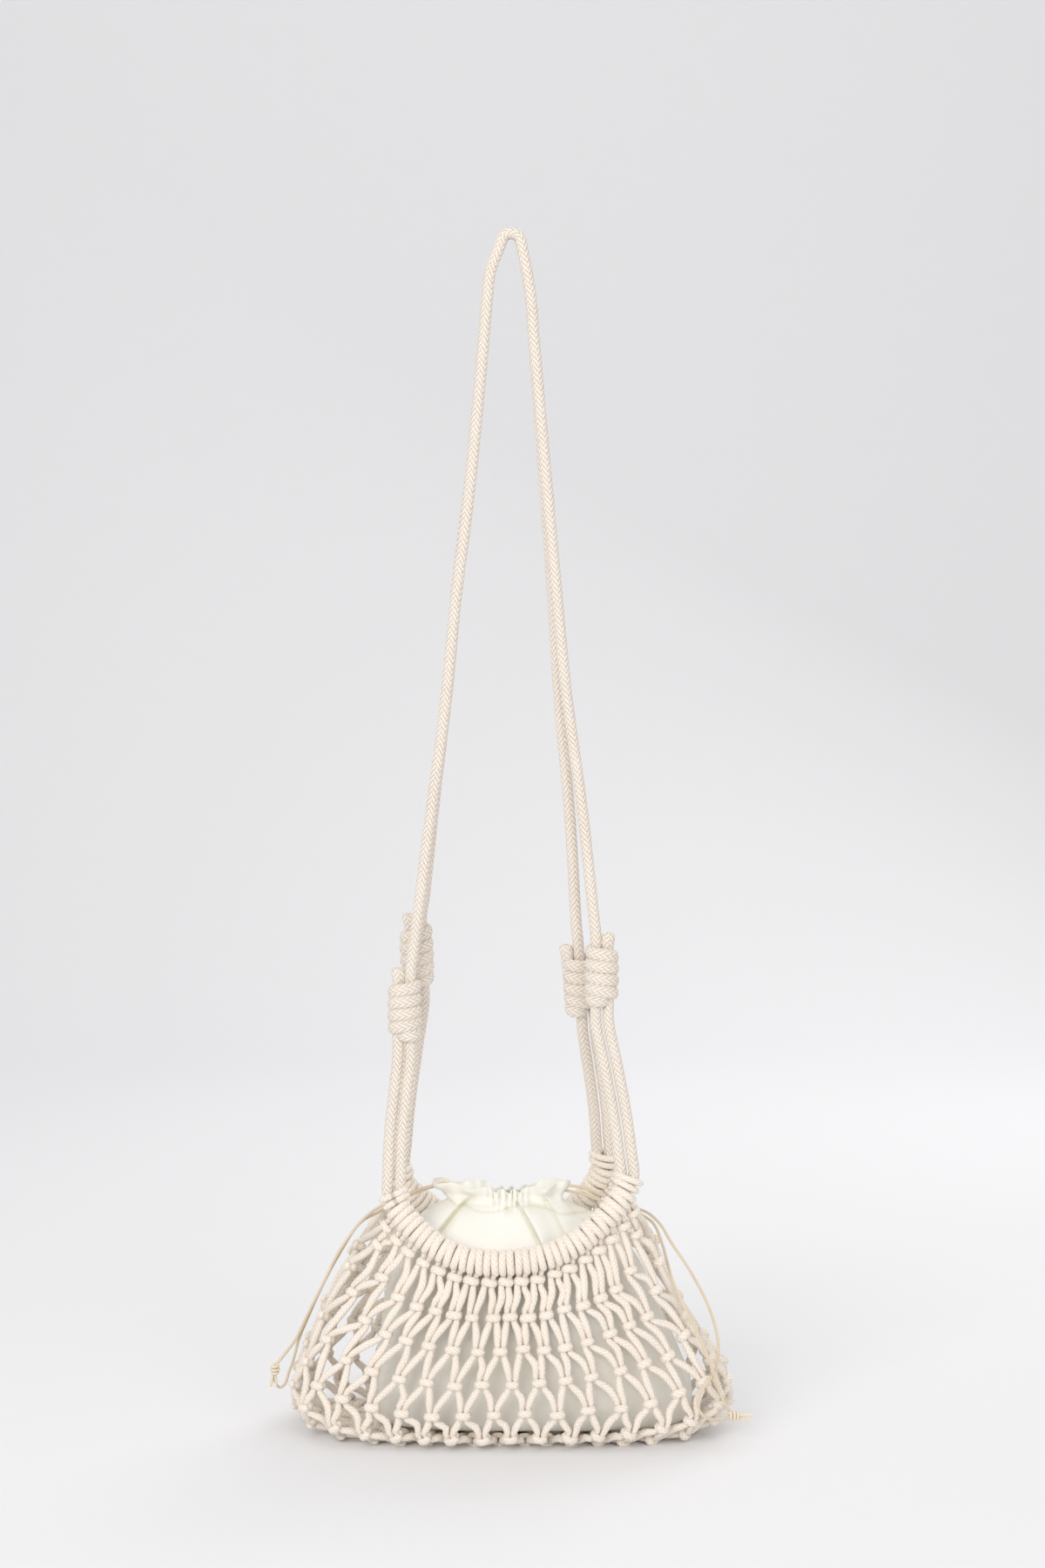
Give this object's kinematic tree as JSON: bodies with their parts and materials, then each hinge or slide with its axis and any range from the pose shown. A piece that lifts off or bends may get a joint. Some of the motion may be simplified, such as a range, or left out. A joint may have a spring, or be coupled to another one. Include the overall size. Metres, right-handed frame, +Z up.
{
  "type": "string shopping bag",
  "caption": "Knotted cotton cord net bag on a long double-rope shoulder strap, with a cloth drawstring pouch inside; stands on its net base, held up by the strap.",
  "frame": {"origin": "underside of the strap's bend, midway between its two ropes, where a hook or a hand holds the bag up", "axes": "+Z up, +X to the bag's right seen from its front, +Y from the front of the bag to its back"},
  "size_m": [0.3646, 0.1522, 0.9026],
  "materials": {
    "rope": "thick braided natural cotton rope, matt, herringbone plait",
    "net_cord": "knitted natural cotton cord, matt and soft, tan in the shade",
    "cloth": "ivory cotton sateen, soft sheen, fine weave, gathered at the neck",
    "string": "thin waxed cotton string, smooth and round"
  },
  "bodies": {
    "root": {"strap_rope_front": "rope", "strap_rope_back": "rope", "rim_rope_front": "rope", "rim_rope_back": "rope", "barrel_knot_front_left": "rope", "barrel_knot_back_left": "rope", "barrel_knot_front_right": "rope", "barrel_knot_back_right": "rope", "rim_wraps_front": "net_cord", "rim_wraps_back": "net_cord", "net": "net_cord", "pouch": "cloth", "drawstring_left_straight": "string", "drawstring_left_curled": "string", "drawstring_right_outer": "string", "drawstring_right_inner": "string", "drawstring_knot_left": "string", "drawstring_knot_right": "string"}
  },
  "joints": []
}
